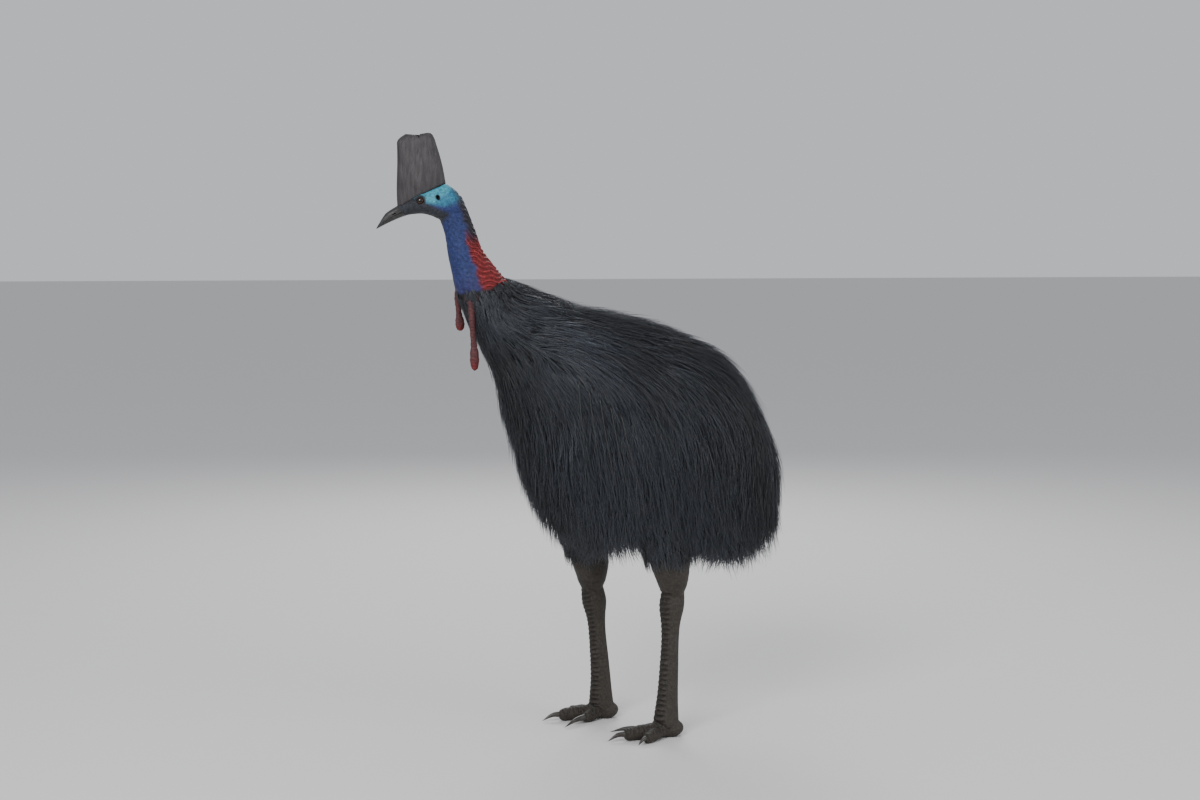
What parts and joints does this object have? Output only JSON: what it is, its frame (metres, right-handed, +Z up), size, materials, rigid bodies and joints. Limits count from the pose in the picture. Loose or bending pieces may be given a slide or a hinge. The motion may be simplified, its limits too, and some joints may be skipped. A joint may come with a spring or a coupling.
{
  "type": "cassowary",
  "caption": "life-size still model of a standing cassowary with a tall casque, drooping hair-like plumage, long neck wattles and bare scaly legs",
  "frame": {"origin": "on the floor, under the middle of the figure's bounding box", "axes": "+Z up; the bird's body faces -X and its left side is toward -Y"},
  "size_m": [1.0714, 0.5198, 1.545],
  "materials": {
    "blue_skin": "bare skin, soft sheen",
    "red_skin": "bare folded skin, soft sheen",
    "wattle": "bare creased skin, matte",
    "casque": "horn, worn and matte",
    "bill": "horn, satin",
    "eye": "wet, glossy",
    "plumage": "hair-like feathers, dull with a faint sheen",
    "quill": "bare feather shafts, satin",
    "scales": "scaly skin, dry and matte",
    "claw": "horn, satin"
  },
  "bodies": {
    "root": {"head": "blue_skin", "casque": "casque", "bill_upper": "bill", "bill_lower": "bill", "eye_left": "eye", "eye_right": "eye", "neck_upper": "blue_skin", "neck_lower": "red_skin", "wattle_left": "wattle", "wattle_right": "wattle", "torso": "plumage", "tail": "plumage", "wing_left": "quill", "wing_right": "quill", "thigh_left": "plumage", "thigh_right": "plumage", "tarsus_left": "scales", "tarsus_right": "scales", "foot_left": "scales", "foot_right": "scales", "claw_middle_left": "claw", "claw_outer_left": "claw", "claw_inner_left": "claw", "claw_middle_right": "claw", "claw_outer_right": "claw", "claw_inner_right": "claw"}
  },
  "joints": []
}
